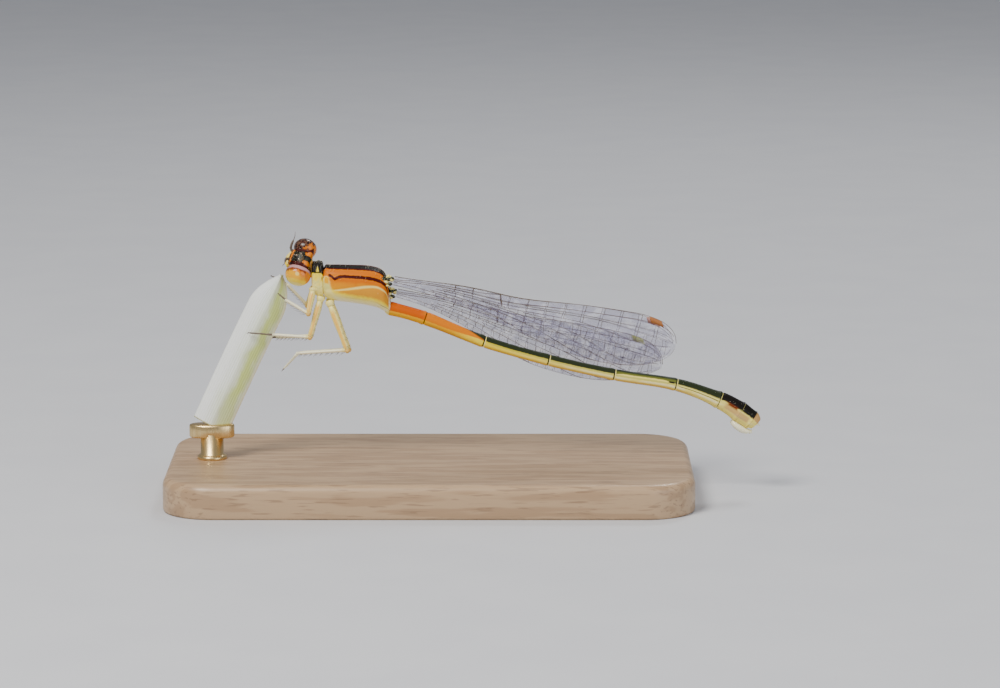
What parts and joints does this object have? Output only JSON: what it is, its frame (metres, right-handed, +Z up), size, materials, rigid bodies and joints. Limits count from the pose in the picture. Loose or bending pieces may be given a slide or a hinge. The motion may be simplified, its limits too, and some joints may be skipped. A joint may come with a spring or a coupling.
{
  "type": "damselfly model",
  "caption": "Life-size still model of a young orange forktail damselfly, wings folded, gripping a cut grass blade on a plain display stand.",
  "frame": {"origin": "middle of the display base's underside", "axes": "+Z up, head toward -X, the animal's left side toward -Y"},
  "size_m": [0.0351, 0.016, 0.0157],
  "materials": {
    "face": "waxy cuticle",
    "eye": "glossy",
    "orange_cuticle": "waxy cuticle",
    "olive_cuticle": "satin cuticle",
    "dark_cuticle": "satin cuticle",
    "leg": "waxy cuticle",
    "wing": "clear membrane with brown veins",
    "grass": "satin leaf",
    "stand_wood": "oiled pale wood",
    "stand_rod": "satin"
  },
  "bodies": {
    "root": {"head": "face", "eye_left": "eye", "eye_right": "eye", "antenna_left": "dark_cuticle", "antenna_right": "dark_cuticle", "prothorax": "orange_cuticle", "thorax": "orange_cuticle", "forewing_left": "wing", "forewing_right": "wing", "hindwing_left": "wing", "hindwing_right": "wing", "foreleg_left": "leg", "foreleg_right": "leg", "midleg_left": "leg", "midleg_right": "leg", "hindleg_left": "leg", "hindleg_right": "leg", "abdomen_s1_s2": "orange_cuticle", "abdomen_s3": "orange_cuticle", "abdomen_s4": "olive_cuticle", "abdomen_s5": "olive_cuticle", "abdomen_s6": "olive_cuticle", "abdomen_s7": "olive_cuticle", "abdomen_tip": "dark_cuticle", "perch_grass_blade": "grass", "stand_base": "stand_wood", "stand_rod": "stand_rod"}
  },
  "joints": []
}
